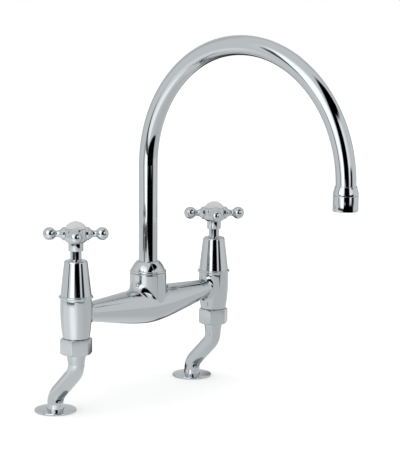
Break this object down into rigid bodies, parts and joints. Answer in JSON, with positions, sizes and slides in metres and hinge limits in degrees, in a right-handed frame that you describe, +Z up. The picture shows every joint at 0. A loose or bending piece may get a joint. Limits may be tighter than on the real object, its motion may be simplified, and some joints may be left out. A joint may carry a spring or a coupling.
{
  "type": "bridge basin mixer",
  "caption": "Deck-standing bridge mixer tap with cranked legs, cross handles, bell-shaped valve covers and a tall swivelling swan-neck spout, in polished chrome.",
  "frame": {"origin": "on the deck plane, midway between the two inlet holes in the feet of the legs", "axes": "+X along the bridge towards the right (cold) column, +Y away from the user, to which the legs crank back, +Z up; the spout reaches to -Y"},
  "size_m": [0.2518, 0.3097, 0.3738],
  "materials": {
    "chrome": "polished",
    "brass": "machined",
    "ceramic": "lapped",
    "porcelain": "glazed",
    "rubber": "matt",
    "fibre": "pressed fibre",
    "plastic": "moulded",
    "steel": "plain"
  },
  "bodies": {
    "bridge": {"bridge_body": "chrome", "left_deck_flange": "chrome", "left_deck_seal": "rubber", "left_fixed_disc": "ceramic", "left_leg": "chrome", "left_seat_seal": "rubber", "left_union_collar": "brass", "left_union_nut": "chrome", "left_union_washer": "fibre", "left_valve_body": "brass", "left_valve_cover": "chrome", "left_valve_o_ring": "rubber", "right_deck_flange": "chrome", "right_deck_seal": "rubber", "right_fixed_disc": "ceramic", "right_leg": "chrome", "right_seat_seal": "rubber", "right_union_collar": "brass", "right_union_nut": "chrome", "right_union_washer": "fibre", "right_valve_body": "brass", "right_valve_cover": "chrome", "right_valve_o_ring": "rubber", "spout_collar": "chrome", "spout_thrust_rings": "plastic"},
    "spout": {"spout_tube": "chrome", "spout_foot": "brass", "spout_o_rings": "rubber", "spout_ferrule": "chrome", "aerator_housing": "chrome", "aerator_insert": "plastic", "flow_screen": "steel", "aerator_washer": "rubber"},
    "left_tap": {"left_handle": "chrome", "left_handle_screw": "steel", "left_index_cap": "porcelain", "left_spindle": "chrome", "left_spindle_o_rings": "rubber", "left_spindle_clip": "steel", "left_moving_disc": "ceramic"},
    "right_tap": {"right_handle": "chrome", "right_handle_screw": "steel", "right_index_cap": "porcelain", "right_spindle": "chrome", "right_spindle_o_rings": "rubber", "right_spindle_clip": "steel", "right_moving_disc": "ceramic"}
  },
  "joints": [
    {"name": "spout_swivel", "type": "hinge", "parent": "bridge", "child": "spout", "pos_m": [0, -0.03, 0.13141], "axis": [0, 0, 1], "continuous": true},
    {"name": "left_handle_turn", "type": "hinge", "parent": "bridge", "child": "left_tap", "pos_m": [-0.1015, -0.03, 0.11731], "axis": [0, 0, 1], "range_deg": [0, 90]},
    {"name": "right_handle_turn", "type": "hinge", "parent": "bridge", "child": "right_tap", "pos_m": [0.1015, -0.03, 0.11731], "axis": [0, 0, -1], "range_deg": [0, 90]}
  ]
}
